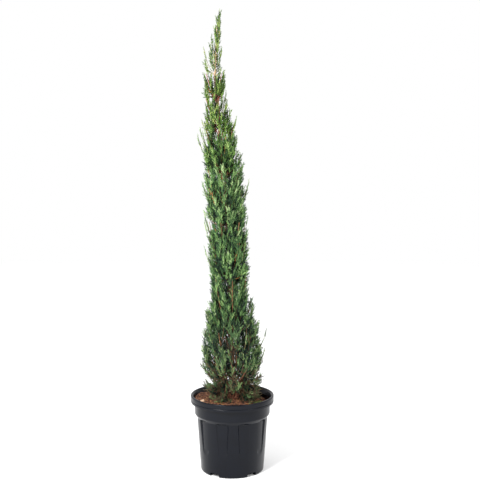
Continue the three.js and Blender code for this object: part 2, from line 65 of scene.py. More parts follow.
# A young Italian cypress in its ribbed nursery pot. Metres, +Z up, the front is -Y.
# The plant's own heights are counted up from the top of the potting mix, and are named "up".

# ---- Sizes that the solids give ----
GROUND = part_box("trunk")[0].z  # top of the potting mix under the trunk
TREE_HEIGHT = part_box("foliage_leader_1")[1].z - GROUND

# ---- Trunk, boughs and crown, as the solids are grown ----
TRUNK_TOP = 1.360
TRUNK_RADIUS = 0.012
TRUNK_TIP_RADIUS = 0.0026
TRUNK_FLARE = 0.008
FLARE_UP = 0.022
BOUGH_RADIUS = 0.0046
BOUGH_TIP_RADIUS = 0.0032
BOUGH_BEND = {"share": 0.35, "out": 0.6}
BOUGHS = {
    "skirt": {"up": 0.016, "step": 0.026, "rise": 0.062, "tip_step": 0.030, "reach": 0.050},
    "lower": {"up": 0.020, "step": 0.024, "rise": 0.062, "tip_step": 0.024, "reach": 0.030},
}
# Height up, radius of the crown, and how far its middle leans to +X.
CROWN = np.array([
    (0.020, 0.106, 0.003),
    (0.130, 0.132, 0.000),
    (0.290, 0.128, -0.004),
    (0.400, 0.095, -0.008),
    (0.510, 0.078, -0.011),
    (0.620, 0.086, -0.014),
    (0.940, 0.084, -0.028),
    (1.080, 0.075, -0.046),
    (1.200, 0.058, -0.058),
    (1.330, 0.046, -0.070),
    (1.440, 0.038, -0.074),
    (1.540, 0.019, -0.065),
    (TREE_HEIGHT, 0.005, -0.052),
])
# Rings of flame-shaped masses: how many, where they leave the trunk, the first one's bearing in degrees,
# whether a bough carries each, the crown's face that one plume covers, and the record's slot.
TIERS = [
    ("skirt", 8, 0.000, 14, True, 0.00110, "foliage_deep"),
    ("lower", 6, 0.165, 40, True, 0.00105, "foliage_deep"),
    ("waist", 6, 0.400, 70, False, 0.00105, "foliage_deep"),
    ("belly", 6, 0.640, 22, False, 0.00105, "foliage_mid"),
    ("upper", 5, 0.870, 50, False, 0.00105, "foliage_mid"),
    ("neck", 4, 1.070, 15, False, 0.00108, "foliage_mid"),
    ("spire", 3, 1.225, 80, False, 0.00098, "foliage_light"),
    ("leader", 1, 1.335, 0, False, 0.00190, "foliage_light"),
]
# The underside of a mass climbs by RISE as it leaves the trunk, and faster the further out it gets.
RISE = 0.9
CURL = 0.072
SKIRT_FLOOR = 0.010
SKIRT_INNER = 0.046  # the skirt's masses start no nearer to the trunk than this
STEM_RADIUS = 0.0028
STEM_TIP = 0.8
STEM_ROOTS = {"first": 0.1, "spread": 0.3}
LEADER_BARE = 0.060
TWIG_CLIMB = 1.4
TWIGS_FROM = 0.28  # share of a stem that is bare below its first twig
TWIGS_FROM_LOW = 0.06  # and of one that a bough or the trunk's tip carries
TWIGS_UNTIL = 0.96
TWIGS_APART = 0.04
SPRAY_LENGTH = 0.112
SPRAY_OUT = 0.24
FOOT_SPRAY_OUT = 1.3
FOOT_SPRAYS = 0.230
GOLDEN_RATIO = 0.618034
GOLDEN_ANGLE = 2.399963

UP = np.array([0.0, 0.0, 1.0])


def lerp(a, b, share):
    return a + (b - a) * share


def clamp(value, low=0.0, high=1.0):
    return max(low, min(high, value))


def unit(vector):
    return vector / max(np.linalg.norm(vector), 1e-12)


def ease(share):
    share = clamp(share)
    return share * share * (3 - 2 * share)


def faded(value, whole, none):
    """1 up to the value "whole", falling to 0 at the value "none"."""
    return clamp((none - value) / (none - whole))


def chance(seed):
    """A repeatable number from 0 to 1 for each seed."""
    wave = math.sin(seed * 127.1 + 311.7) * 43758.5453
    return wave - math.floor(wave)


# ---- The crown's outline ----


def crown_at(up, column):
    up = clamp(up, CROWN[0, 0], TREE_HEIGHT)
    above = max(1, int(np.argmax(CROWN[:, 0] >= up - 1e-9)))
    low, high = CROWN[above - 1], CROWN[above]
    return lerp(low[column], high[column], ease((up - low[0]) / (high[0] - low[0])))


def crown_radius(up):
    return crown_at(up, 1)


def crown_point(up, radius, bearing):
    x = crown_at(up, 2) + radius * math.cos(bearing)
    return np.array([x, radius * math.sin(bearing), GROUND + up])


def curl(radius):
    return radius * RISE + radius * radius / CURL


def uncurl(rise):
    return (CURL / 2) * (math.sqrt(RISE * RISE + 4 * max(rise, 0) / CURL) - RISE)


def outline_cut(rises):
    up = rises
    for _ in range(20):
        up = lerp(up, rises + curl(crown_radius(up)), 0.5)
    return up


# ---- Curves ----


def bezier(curve, share):
    a, b, c = curve
    return (1 - share) ** 2 * a + 2 * share * (1 - share) * b + share * share * c


def tangent(curve, share):
    a, b, c = curve
    return unit((1 - share) * (b - a) + share * (c - b))


def sides_of(along):
    """Two directions square to a direction and to each other."""
    help_axis = UP if abs(along[2]) < 0.9 else np.array([1.0, 0.0, 0.0])
    across = unit(np.cross(help_axis, along))
    return across, np.cross(along, across)


# ---- Masses ----


def space_of(tier_index, index):
    name, count, rises, turn, boughs, face, slot = TIERS[tier_index]
    is_leader = count == 1
    ceiling = TREE_HEIGHT if is_leader else TIERS[tier_index + 1][2]
    return SimpleNamespace(
        name=f"{name}_{index + 1}",
        tier=name,
        boughs=boughs,
        plume_face=face,
        rises=rises,
        ceiling=ceiling,
        is_skirt=tier_index == 0,
        is_leader=is_leader,
        index=index,
        seed=tier_index * 1000 + index * 50,
        root_share=STEM_ROOTS["first"] + STEM_ROOTS["spread"] * ((index * GOLDEN_RATIO) % 1),
        bearing=math.radians(turn + index * 360 / count),
        half=math.pi / count,
        low=SKIRT_FLOOR if tier_index == 0 else outline_cut(rises),
        high=TREE_HEIGHT if is_leader else outline_cut(ceiling),
    )


def section_of(space, up):
    outline = crown_radius(up)
    inner = 0 if space.is_leader else uncurl(up - space.ceiling)
    outer = outline if space.is_skirt else min(outline, uncurl(up - space.rises))
    return (max(inner, SKIRT_INNER) if space.is_skirt else inner), outer


def bough_curve(space):
    size = BOUGHS[space.tier]
    stagger = space.index % 2
    root_up = space.rises + size["up"] + stagger * size["step"]
    tip_up = space.rises + size["up"] + size["rise"] + stagger * size["tip_step"]
    bend_up = lerp(root_up, tip_up, BOUGH_BEND["share"])
    return (
        crown_point(root_up, 0, 0),
        crown_point(bend_up, size["reach"] * BOUGH_BEND["out"], space.bearing),
        crown_point(tip_up, size["reach"], space.bearing),
    )


def stem_curve(space, bough):
    if space.is_leader:
        root = crown_point(TRUNK_TOP, 0, 0)
        tip = crown_point(TREE_HEIGHT - LEADER_BARE, 0, 0)
        return root, (root + tip) / 2, tip
    tip_up = lerp(space.low, space.high, STEM_TIP)
    tip_radius = sum(section_of(space, tip_up)) / 2
    tip = crown_point(tip_up, tip_radius, space.bearing)
    if bough:
        root, root_radius = bough[2], BOUGHS[space.tier]["reach"]
        root_up = root[2] - GROUND
    else:
        root_up, root_radius = lerp(space.rises, space.ceiling, space.root_share), 0
        root = crown_point(root_up, 0, 0)
    span = tip_radius - root_radius
    climb = (tip_up - curl(tip_radius) - root_up + curl(root_radius)) / span
    slope = RISE + 2 * root_radius / CURL + climb
    bend = crown_point(root_up + slope * span / 2, root_radius + span / 2, space.bearing)
    return root, bend, tip


def twig_start(space, stem, target):
    share = TWIGS_FROM_LOW if space.boughs or space.is_leader else TWIGS_FROM
    start = bezier(stem, share)
    while share < TWIGS_UNTIL:
        point = bezier(stem, share)
        away = math.hypot(target[0] - point[0], target[1] - point[1])
        if target[2] - point[2] > max(away * TWIG_CLIMB, SPRAY_LENGTH):
            start = point
        share += TWIGS_APART
    return start


# ---- Plumes: the twigs of a mass, each clothed in sprays from part-way up to its tip ----
TWIG_FOOT_RADIUS = 0.0013
TWIG_END_RADIUS = 0.0005
TWIG_STEPS = 24
DEEP_EVERY = 3  # one plume in so many stays inside the crown, in the shade
STRAY_SHARE = 0.04  # of the plumes reach past the rest, long and thin
BARE_SHARE = 0.08  # of the plumes show their bark for most of their length
# How far the plumes of each kind reach, as shares of the crown's radius.
PLUME_REACH = {"full": (0.76, 0.96), "deep": (0.45, 0.72), "stray": (1.02, 1.14), "bare": (0.88, 1.0)}
LOW_REACH = 0.06  # how much further the full plumes low in the crown reach
LOW_REACH_UP = (0.168, 0.448)  # all of it below the first height, none above the second
WAIST_REACH = 0.07  # and how much further those round its waist do
WAIST_UP = 0.37
WAIST_HALF = (0.04, 0.12)  # all of it this near to the waist, none that far from it
PLUME_SINK = 0.8  # how far a plume that stops inside the crown sinks, against the masses' own climb
PLUME_SWAY = 0.5
PLUME_RUN = (0.85, 1.15)  # a plume's last straight run, against SPRAY_LENGTH
PLUME_RUN_MOST = 0.8  # and against the way from its start to its tip
PLUME_SIZE = (0.78, 1.18)
CLOTHED = 0.120  # length of a plume that carries sprays
CLOTHED_BY_KIND = {"bare": 0.5, "stray": 1.25}
CLOTHED_MOST = 0.92  # of the whole plume
AIRY_FROM = 1.04  # the crown thins out above this height up
AIRY_SPAN = 0.28
# The habit of a full plume low in the crown, and of a thin one in the spire.
SPRAY_EVERY = (0.0046, 0.0084)
SPRAY_LEAN = (0.58, 0.34)
SPRAY_SIZE = (0.031, 0.027)
LEAN_ALONG = (1.1, 0.6)  # how much of its lean a spray has at the foot of the clothed part, and at the tip
LEAN_VARIES = 0.16
SIZE_VARIES = (0.8, 1.2)
SPRAY_UPTURN = 0.15
SPRAY_OVERHANG = 0.018  # how far a side spray may pass the plume's tip
SKIRT_LEAN = 0.30  # more lean at the crown's foot, fading out at SKIRT_LEAN_UP
SKIRT_LEAN_UP = 0.45
TIP_SPRAY = 0.036
TIP_SPRAYS_BACK = (0.014, 0.0)
STRAY_THIN = 0.45  # sprays on a stray plume, against a full one: how many, how wide they stand, how long
# Long thin shoots that stand clear of the crown: the tip's height up, its bearing in degrees, and its reach.
STRAYS = [
    (1.150, 184, 1.24),
    (1.120, 176, 1.34),
    (1.185, 190, 1.16),
    (1.473, 182, 1.32),
    (0.650, 180, 1.16),
    (0.310, 352, 1.20),
    (1.190, 356, 1.28),
    (1.175, 345, 1.20),
    (0.930, 2, 1.16),
    (0.760, 174, 1.14),
]
THINNED_UP = 0.12  # below this height up some of the skirt's plumes are left out
THINNED_ROUND = 0.30
THINNED_FRONT = 0.94
OPEN_FRONT = 270  # bearing of the gap in the skirt, where the mix and the bare stems show
OPEN_FRONT_HALF = 42
OPEN_FRONT_UP = 0.085


def turned_from(bearing, degrees):
    """How far a bearing in radians is from one in degrees, in degrees either way."""
    return abs((math.degrees(bearing) - degrees + 180) % 360 - 180)


def plume_to(space, stem, seed, face_up, bearing, reach, kind):
    """One plume: its twig leaves the stem and ends where the given height, bearing and reach say."""
    outline = crown_radius(face_up)
    radius = outline * reach
    up = max(face_up - PLUME_SINK * max(curl(outline) - curl(radius), 0), SKIRT_FLOOR)
    target = crown_point(up, radius, bearing)
    out = np.array([math.cos(bearing), math.sin(bearing), 0.0])
    sway = (chance(seed + 0.6) - 0.5) * PLUME_SWAY
    lean_out = lerp(SPRAY_OUT, FOOT_SPRAY_OUT, faded(up, 0, FOOT_SPRAYS))
    along = unit(out * lean_out + np.cross(out, UP) * sway + UP)
    start = twig_start(space, stem, target)
    run = SPRAY_LENGTH * lerp(*PLUME_RUN, chance(seed + 0.75))
    run = min(run, np.linalg.norm(target - start) * PLUME_RUN_MOST)
    size = lerp(*PLUME_SIZE, chance(seed + 0.85))
    curve = (start, target - along * run, target)
    return SimpleNamespace(seed=seed, curve=curve, up=up, out=out, size=size, kind=kind)


def kind_of(space, k, seed):
    luck = chance(seed + 0.95)
    if k % DEEP_EVERY == DEEP_EVERY - 1 and not space.is_leader:
        return "deep"
    if luck < STRAY_SHARE:
        return "stray"
    return "bare" if luck < STRAY_SHARE + BARE_SHARE else "full"


def reach_of(kind, face_up, seed):
    reach = lerp(*PLUME_REACH[kind], chance(seed + 0.25))
    if kind == "full":
        reach += LOW_REACH * faded(face_up, *LOW_REACH_UP)
        reach += WAIST_REACH * faded(abs(face_up - WAIST_UP), *WAIST_HALF)
    return reach


def is_left_out(space, plume, bearing, seed):
    """Whether a plume at the skirt's foot is left out, which thins it all round and opens its front."""
    if not space.is_skirt or plume.up >= THINNED_UP:
        return False
    in_front = turned_from(bearing, OPEN_FRONT) < OPEN_FRONT_HALF and plume.up < OPEN_FRONT_UP
    return chance(seed + 0.4) < (THINNED_FRONT if in_front else THINNED_ROUND)


def plumes_of(space, stem):
    face = 2 * space.half * crown_radius((space.low + space.high) / 2) * (space.high - space.low)
    amount = max(3, round(face / space.plume_face))
    plumes = []
    for k in range(amount):
        seed = space.seed * 3 + k * 1.7
        face_up = lerp(space.low, space.high, (k + chance(seed)) / amount)
        off = ((k * GOLDEN_RATIO + chance(space.seed + 0.5)) % 1) * 2 - 1
        bearing = space.bearing + off * space.half
        kind = kind_of(space, k, seed)
        plume = plume_to(space, stem, seed, face_up, bearing, reach_of(kind, face_up, seed), kind)
        if not is_left_out(space, plume, bearing, seed):
            plumes.append(plume)
    for k, (up, degrees, reach) in enumerate(STRAYS):
        if space.low <= up < space.high and turned_from(space.bearing, degrees) <= math.degrees(space.half):
            seed, bearing = space.seed + 7 * k, math.radians(degrees)
            plumes.append(plume_to(space, stem, seed, up, bearing, reach, "stray"))
    return plumes


# ---- Sprays ----
TINTS = ["shade", "deep", "green", "fresh", "bright", "sunlit"]
TINT_STEPS = [0.16, 0.32, 0.50, 0.68, 0.86]
TINT_FROM = 0.365
# What makes a spray brighter: the plume's own luck, the place along it, the spray's luck, and height.
TINT_BY = {"plume": 0.20, "along": 0.22, "spray": 0.72, "height": 0.26}
# The sprays of the deep plumes inside the crown are pushed to darker greens, which is painted shade. Those of
# the stray plumes are pushed to lighter greens.
TINT_BY_KIND = {"deep": -0.34, "stray": 0.25}
TINT_HEIGHT = (0.35, 1.45)
DULL_UP = 0.17  # below this height up some sprays have turned brown
DULL_SHARE = 0.45


def tint_of(plume, share, seed):
    """Which green a spray takes: brighter towards a plume's tip and the tree's top, and darker on the deep
    plumes inside the crown, which is painted shade.
    """
    if plume.up < DULL_UP and chance(seed + 0.7) < DULL_SHARE:
        return "dull"
    low, high = TINT_HEIGHT
    value = TINT_FROM + TINT_BY["plume"] * (chance(plume.seed + 0.11) - 0.5)
    value += TINT_BY["along"] * (share - 0.5) + TINT_BY["spray"] * (chance(seed) - 0.5)
    value += TINT_BY["height"] * clamp((plume.up - low) / (high - low))
    value += TINT_BY_KIND.get(plume.kind, 0)
    return TINTS[sum(value > step for step in TINT_STEPS)]


def clothe(plume, sprays):
    """Adds the sprays of a plume: side sprays all round its twig, drawn in to a point at its tip."""
    points = [bezier(plume.curve, step / TWIG_STEPS) for step in range(TWIG_STEPS + 1)]
    steps = np.linalg.norm(np.diff(points, axis=0), axis=1)
    total = float(steps.sum())
    reached = np.concatenate([[0], np.cumsum(steps)]) / total
    airy = ease((plume.up - AIRY_FROM) / AIRY_SPAN)
    thin = STRAY_THIN if plume.kind == "stray" else 1
    loose = SKIRT_LEAN * faded(plume.up, 0, SKIRT_LEAN_UP)
    clothed = min(CLOTHED * plume.size * CLOTHED_BY_KIND.get(plume.kind, 1), total * CLOTHED_MOST)
    amount = max(3, round(clothed / lerp(*SPRAY_EVERY, airy) * thin))
    for k in range(amount):
        seed = plume.seed * 13 + k * 3.1
        share = (k + 0.2 + 0.6 * chance(seed)) / amount
        at = 1 - (1 - share) * clothed / total
        on_curve = float(np.interp(at, reached, np.linspace(0, 1, TWIG_STEPS + 1)))
        spot, along = bezier(plume.curve, on_curve), tangent(plume.curve, on_curve)
        across, beside = sides_of(along)
        around = k * GOLDEN_ANGLE + 1.2 * chance(seed + 0.2)
        away = unit(across * math.cos(around) + beside * math.sin(around) + plume.out * 0.1)
        lean = (lerp(*SPRAY_LEAN, airy) + loose) * lerp(*LEAN_ALONG, share) * thin
        lean += (LEAN_VARIES + loose) * (chance(seed + 0.3) - 0.5)
        grows = unit(along * math.cos(lean) + away * math.sin(lean) + UP * SPRAY_UPTURN)
        length = lerp(*SPRAY_SIZE, airy) * (1 - 0.6 * loose) * plume.size
        length *= lerp(*SIZE_VARIES, chance(seed + 0.4)) * lerp(thin, 1, 0.2)
        length = min(length, clothed * (1 - share) + SPRAY_OVERHANG)
        sprays.setdefault(tint_of(plume, share, seed + 0.5), []).append((spot, grows, length))
    tip = unit(tangent(plume.curve, 1.0) + UP * 0.1)
    length = TIP_SPRAY * plume.size * lerp(thin, 1, 0.4)
    for back in TIP_SPRAYS_BACK:
        spot = plume.curve[2] - tip * (length + back)
        sprays.setdefault(tint_of(plume, 1.0, plume.seed + back * 100), []).append((spot, tip, length))


# ---- Meshes ----


def mesh_object(name, vertices, faces, smooth=True):
    mesh = bpy.data.meshes.new(name)
    mesh.from_pydata([tuple(v) for v in vertices], [], faces)
    mesh.validate()
    if smooth:
        mesh.shade_smooth()
    piece = bpy.data.objects.new(name, mesh)
    bpy.context.scene.collection.objects.link(piece)
    return piece


class Limbs:
    """Tapering tubes along curves, gathered into one mesh."""

    def __init__(self):
        self.vertices, self.faces = [], []

    def add(self, points, radii, sides, relief=None):
        first = len(self.vertices)
        points = np.asarray(points)
        runs = np.gradient(points, axis=0)
        for row, (point, run) in enumerate(zip(points, runs)):
            across, beside = sides_of(unit(run))
            for side in range(sides):
                turn = side * 2 * math.pi / sides
                radius = relief(turn, point, radii[row]) if relief else radii[row]
                away = across * math.cos(turn) + beside * math.sin(turn)
                self.vertices.append(point + away * radius)
        rows = len(points)
        for row in range(rows - 1):
            for side in range(sides):
                a = first + row * sides + side
                b = first + row * sides + (side + 1) % sides
                self.faces.append((a, b, b + sides, a + sides))
        self.faces.append(tuple(first + side for side in reversed(range(sides))))
        self.faces.append(tuple(first + (rows - 1) * sides + side for side in range(sides)))

    def piece(self, name):
        return mesh_object(name, self.vertices, self.faces)


def spindle(vertices, faces, foot, tip, thick, belly=0.35):
    """A closed three-sided spindle from foot to tip, thickest at its belly."""
    along = tip - foot
    across, beside = sides_of(unit(along))
    first = len(vertices)
    vertices.append(foot)
    middle = foot + along * belly
    for k in range(3):
        turn = k * 2 * math.pi / 3
        vertices.append(middle + (across * math.cos(turn) + beside * math.sin(turn)) * thick)
    vertices.append(tip)
    for k in range(3):
        a, b = first + 1 + k, first + 1 + (k + 1) % 3
        faces.append((first, b, a))
        faces.append((first + 4, a, b))


SPRIG_BOW = 0.22
SPINE_THICK = 0.055
BRANCHLET_THICK = 0.048
# Of a branchlet at a sprig's foot and at its tip: how far it leans, in radians, and how long it is.
BRANCHLET_LEAN = (0.50, 0.32)
BRANCHLET_LENGTH = (0.44, 0.26)


def sprig(index, branchlets):
    """One spray of cord-like branchlets, one unit tall."""
    vertices, faces = [], []
    bow = np.array([SPRIG_BOW * (chance(index + 0.1) - 0.5), SPRIG_BOW * (chance(index + 0.2) - 0.5), 0.0])

    def spine(share):
        return np.array([0.0, 0.0, share]) + bow * math.sin(share * math.pi)

    spindle(vertices, faces, spine(0), spine(1), SPINE_THICK)
    for k in range(branchlets):
        seed = index * 40 + k * 1.3
        share = 0.04 + 0.84 * (k + chance(seed)) / branchlets
        turn = k * GOLDEN_ANGLE + chance(seed + 0.3)
        lean = lerp(*BRANCHLET_LEAN, share) + 0.4 * (chance(seed + 0.5) - 0.5)
        length = lerp(*BRANCHLET_LENGTH, share) * lerp(0.7, 1.2, chance(seed + 0.7))
        grows = np.array([math.cos(turn) * math.sin(lean), math.sin(turn) * math.sin(lean), math.cos(lean)])
        foot = spine(share)
        spindle(vertices, faces, foot, foot + grows * length, BRANCHLET_THICK, 0.45)
    return mesh_object(f"sprig_{index}", vertices, faces)


def shelf_of(name, shapes):
    """A collection of shapes for Geometry Nodes to stand on points, out of the picture themselves."""
    shelf = bpy.data.collections.new(name)
    bpy.context.scene.collection.children.link(shelf)
    for shape in shapes:
        bpy.context.scene.collection.objects.unlink(shape)
        shelf.objects.link(shape)
        shape.hide_render = True
    return shelf


def empty(shelf):
    for shape in list(shelf.objects):
        bpy.data.objects.remove(shape)
    bpy.data.collections.remove(shelf)


def make_sprigs(amount=9, branchlets=6):
    return shelf_of("sprigs", [sprig(index, branchlets) for index in range(amount)])


# ---- Geometry Nodes ----


def node(tree, kind, links=(), **settings):
    made = tree.nodes.new(kind)
    for key, value in settings.items():
        setattr(made, key, value)
    for socket, source in dict(links).items():
        target = made.inputs[socket]
        if isinstance(source, bpy.types.NodeSocket):
            tree.links.new(source, target)
        else:
            target.default_value = source
    return made


def standing_tree():
    """Stands one of a shelf's shapes on every point, facing where the point's "grows" says."""
    tree = bpy.data.node_groups.new("standing_shapes", "GeometryNodeTree")
    sockets = [
        ("Points", "NodeSocketGeometry"),
        ("Shelf", "NodeSocketCollection"),
        ("Shapes", "NodeSocketInt"),
        ("Size", "NodeSocketFloat"),
        ("Slimness", "NodeSocketFloat"),
        ("Seed", "NodeSocketInt"),
        ("Finish", "NodeSocketMaterial"),
    ]
    for name, kind in sockets:
        tree.interface.new_socket(name, in_out="INPUT", socket_type=kind)
    tree.interface.new_socket("Shapes", in_out="OUTPUT", socket_type="NodeSocketGeometry")
    given = node(tree, "NodeGroupInput").outputs
    shelf = node(tree, "GeometryNodeCollectionInfo", {"Collection": given["Shelf"]})
    shelf.inputs["Separate Children"].default_value = True
    shelf.inputs["Reset Children"].default_value = True
    grows = node(tree, "GeometryNodeInputNamedAttribute", {"Name": "grows"}, data_type="FLOAT_VECTOR")
    length = node(tree, "GeometryNodeInputNamedAttribute", {"Name": "length"}, data_type="FLOAT")
    last = node(tree, "ShaderNodeMath", {0: given["Shapes"], 1: 1}, operation="SUBTRACT")
    which = node(tree, "FunctionNodeRandomValue", {"Seed": given["Seed"]}, data_type="INT")
    which.inputs[4].default_value = 0
    tree.links.new(last.outputs[0], which.inputs[5])
    turn = node(tree, "FunctionNodeRandomValue", data_type="FLOAT")
    turn.inputs[3].default_value = 2 * math.pi
    tree.links.new(given["Seed"], turn.inputs["Seed"])
    aim = node(tree, "FunctionNodeAlignRotationToVector", {"Vector": grows.outputs[0]}, axis="Z")
    roll = node(tree, "ShaderNodeCombineXYZ", {"Z": turn.outputs[1]})
    rolled = node(tree, "FunctionNodeEulerToRotation", {0: roll.outputs[0]})
    facing = node(tree, "FunctionNodeRotateRotation", rotation_space="LOCAL")
    tree.links.new(aim.outputs[0], facing.inputs[0])
    tree.links.new(rolled.outputs[0], facing.inputs[1])
    tall = node(tree, "ShaderNodeMath", {0: given["Size"], 1: length.outputs[0]}, operation="MULTIPLY")
    wide = node(tree, "ShaderNodeMath", {0: tall.outputs[0], 1: given["Slimness"]}, operation="MULTIPLY")
    scale = node(tree, "ShaderNodeCombineXYZ", {0: wide.outputs[0], 1: wide.outputs[0], 2: tall.outputs[0]})
    stand = node(tree, "GeometryNodeInstanceOnPoints", {
        "Points": given["Points"], "Instance": shelf.outputs[0], "Instance Index": which.outputs[2],
        "Rotation": facing.outputs[0], "Scale": scale.outputs[0],
    })
    stand.inputs["Pick Instance"].default_value = True
    real = node(tree, "GeometryNodeRealizeInstances", {0: stand.outputs[0]})
    painted = node(tree, "GeometryNodeSetMaterial", {
        "Geometry": real.outputs[0], "Material": given["Finish"],
    })
    node(tree, "NodeGroupOutput", {0: painted.outputs[0]})
    return tree


STANDING = standing_tree()


def stand_shapes(name, spots, shelf, finish, size=1.0, slimness=1.0, seed=0):
    """A plain mesh of the shelf's shapes, one on each spot (point, direction, length)."""
    points = mesh_object(name, [spot[0] for spot in spots], [], smooth=False)
    grows = points.data.attributes.new("grows", "FLOAT_VECTOR", "POINT")
    grows.data.foreach_set("vector", np.array([spot[1] for spot in spots], np.float32).ravel())
    length = points.data.attributes.new("length", "FLOAT", "POINT")
    length.data.foreach_set("value", np.array([spot[2] for spot in spots], np.float32))
    given = {
        "Shelf": shelf, "Shapes": len(shelf.objects), "Size": size, "Slimness": slimness, "Seed": seed,
        "Finish": finish,
    }
    grown = points.modifiers.new("standing_shapes", "NODES")
    grown.node_group = STANDING
    for item in STANDING.interface.items_tree:
        if item.in_out == "INPUT" and item.name in given:
            grown[item.identifier] = given[item.name]
    return made_plain(points)


def made_plain(piece):
    """The piece with its modifiers' result as its own mesh."""
    bpy.context.view_layer.update()
    graph = bpy.context.evaluated_depsgraph_get()
    mesh = bpy.data.meshes.new_from_object(piece.evaluated_get(graph), depsgraph=graph)
    piece.modifiers.clear()
    piece.data = mesh
    return piece


# ---- Materials ----


def shader_group(name, inputs, outputs):
    group = bpy.data.node_groups.new(name, "ShaderNodeTree")
    for label, kind, value in inputs:
        socket = group.interface.new_socket(label, in_out="INPUT", socket_type=kind)
        socket.default_value = value
    for label, kind in outputs:
        group.interface.new_socket(label, in_out="OUTPUT", socket_type=kind)
    return group


def mottle_group():
    """Two colours that drift into each other over the surface, stretched along one axis."""
    group = shader_group(
        "mottle",
        [
            ("Light", "NodeSocketColor", (0.5, 0.5, 0.5, 1)),
            ("Dark", "NodeSocketColor", (0.1, 0.1, 0.1, 1)),
            ("Scale", "NodeSocketFloat", 40.0),
            ("Stretch", "NodeSocketFloat", 1.0),
            ("Contrast", "NodeSocketFloat", 1.0),
        ],
        [("Color", "NodeSocketColor"), ("Mask", "NodeSocketFloat")],
    )
    given = node(group, "NodeGroupInput").outputs
    place = node(group, "ShaderNodeTexCoord").outputs["Object"]
    squash = node(group, "ShaderNodeCombineXYZ", {0: 1.0, 1: 1.0, 2: given["Stretch"]})
    stretched = node(group, "ShaderNodeVectorMath", {0: place, 1: squash.outputs[0]}, operation="MULTIPLY")
    grain = node(group, "ShaderNodeTexNoise", {
        "Vector": stretched.outputs[0], "Scale": given["Scale"], "Detail": 4.0, "Roughness": 0.6,
    })
    centred = node(group, "ShaderNodeMath", {0: grain.outputs[0], 1: 0.5}, operation="SUBTRACT")
    contrast = {0: centred.outputs[0], 1: given["Contrast"]}
    spread = node(group, "ShaderNodeMath", contrast, operation="MULTIPLY")
    mask = node(group, "ShaderNodeMath", {0: spread.outputs[0], 1: 0.5}, operation="ADD", use_clamp=True)
    mix = node(group, "ShaderNodeMix", data_type="RGBA")
    group.links.new(mask.outputs[0], mix.inputs[0])
    group.links.new(given["Dark"], mix.inputs[6])
    group.links.new(given["Light"], mix.inputs[7])
    node(group, "NodeGroupOutput", {0: mix.outputs[2], 1: mask.outputs[0]})
    return group


MOTTLE = mottle_group()


def linear(red, green, blue):
    """A colour given from 0 to 255, as the shader takes it."""
    channels = [value / 255 for value in (red, green, blue)]
    return tuple(c / 12.92 if c < 0.04045 else ((c + 0.055) / 1.055) ** 2.4 for c in channels) + (1.0,)


def plain_finish(name, roughness, specular, colour=None):
    """A material and its one shader, whose colour is left to a pattern where none is given."""
    finish = bpy.data.materials.new(name)
    finish.use_nodes = True
    shader = finish.node_tree.nodes["Principled BSDF"]
    shader.inputs["Roughness"].default_value = roughness
    shader.inputs["Specular IOR Level"].default_value = specular
    if colour:
        shader.inputs["Base Color"].default_value = colour
    return finish, shader


def mottled(
    name, light, dark, scale, roughness,
    stretch=1.0, contrast=3.0, relief=0.3, relief_depth=0.001, specular=0.35,
):
    """A finish whose colour and relief both follow one grain."""
    finish, shader = plain_finish(name, roughness, specular)
    tree = finish.node_tree
    grain = node(tree, "ShaderNodeGroup", node_tree=MOTTLE)
    values = {"Light": light, "Dark": dark, "Scale": scale, "Stretch": stretch, "Contrast": contrast}
    for key, value in values.items():
        grain.inputs[key].default_value = value
    tree.links.new(grain.outputs["Color"], shader.inputs["Base Color"])
    bump = node(tree, "ShaderNodeBump", {
        "Height": grain.outputs["Mask"], "Strength": relief, "Distance": relief_depth,
    })
    tree.links.new(bump.outputs[0], shader.inputs["Normal"])
    return finish


GREENS = {
    "dull": (98, 92, 60),
    "shade": (26, 38, 30),
    "deep": (46, 68, 46),
    "green": (74, 106, 60),
    "fresh": (102, 138, 76),
    "bright": (138, 172, 96),
    "sunlit": (180, 204, 132),
}
# What each tier of the crown makes of those greens: its red, green and blue against theirs.
CASTS = {
    "skirt": (0.90, 0.86, 0.99),
    "lower": (0.89, 0.89, 0.97),
    "waist": (0.90, 0.91, 0.98),
    "belly": (0.89, 0.90, 0.97),
    "upper": (0.79, 0.82, 0.76),
    "neck": (0.81, 0.82, 0.69),
    "spire": (0.78, 0.78, 0.64),
    "leader": (0.74, 0.74, 0.66),
}


def leaf_finish(tint, tier):
    colour = linear(*np.multiply(GREENS[tint], CASTS[tier]))
    return plain_finish(f"leaf_{tier}_{tint}", 0.7, 0.12, colour)[0]


TWIG_BARK = mottled("twig_bark", linear(146, 100, 66), linear(88, 58, 40), 220, 0.7, stretch=0.3)
RED_BARK = mottled("red_bark", linear(142, 74, 54), linear(96, 48, 38), 220, 0.6, stretch=0.3)
LEADER_BARK = mottled("leader_bark", linear(206, 178, 140), linear(160, 122, 88), 220, 0.6, stretch=0.3)
BARE_BARK = mottled("bare_twig_bark", linear(204, 146, 88), linear(152, 92, 56), 160, 0.6, stretch=0.3)
DRY_TWIG = mottled("dry_twig", linear(142, 92, 68), linear(92, 58, 44), 160, 0.85, stretch=0.3)
TRUNK_BARK = mottled(
    "trunk_bark", linear(134, 104, 82), linear(66, 46, 36), 260, 0.85, stretch=0.12, relief=0.7
)
SOIL_FINISH = mottled(
    "coir_mix", linear(120, 78, 54), linear(48, 30, 22), 170, 0.95, relief=0.8, relief_depth=0.002
)


def keep(piece, slot, *nodes, finish=None):
    """Finishes the piece, rides it on the plant's one body and hides the solids that it stands for."""
    if finish:
        piece.data.materials.append(finish)
    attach(piece, "root")
    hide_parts(*nodes)
    return piece


# ---- Trunk and boughs ----
TRUNK_SUNK = 0.006  # how far the trunk goes on down into the mix
BARK_FINE_UP = 0.42  # the bark is worked finer below this height up


def add_twig(wood, curve, foot_radius, tip_radius, rows, sides, relief=None):
    shares = np.linspace(0, 1, rows)
    radii = [lerp(foot_radius, tip_radius, share) for share in shares]
    wood.add([bezier(curve, share) for share in shares], radii, sides, relief)


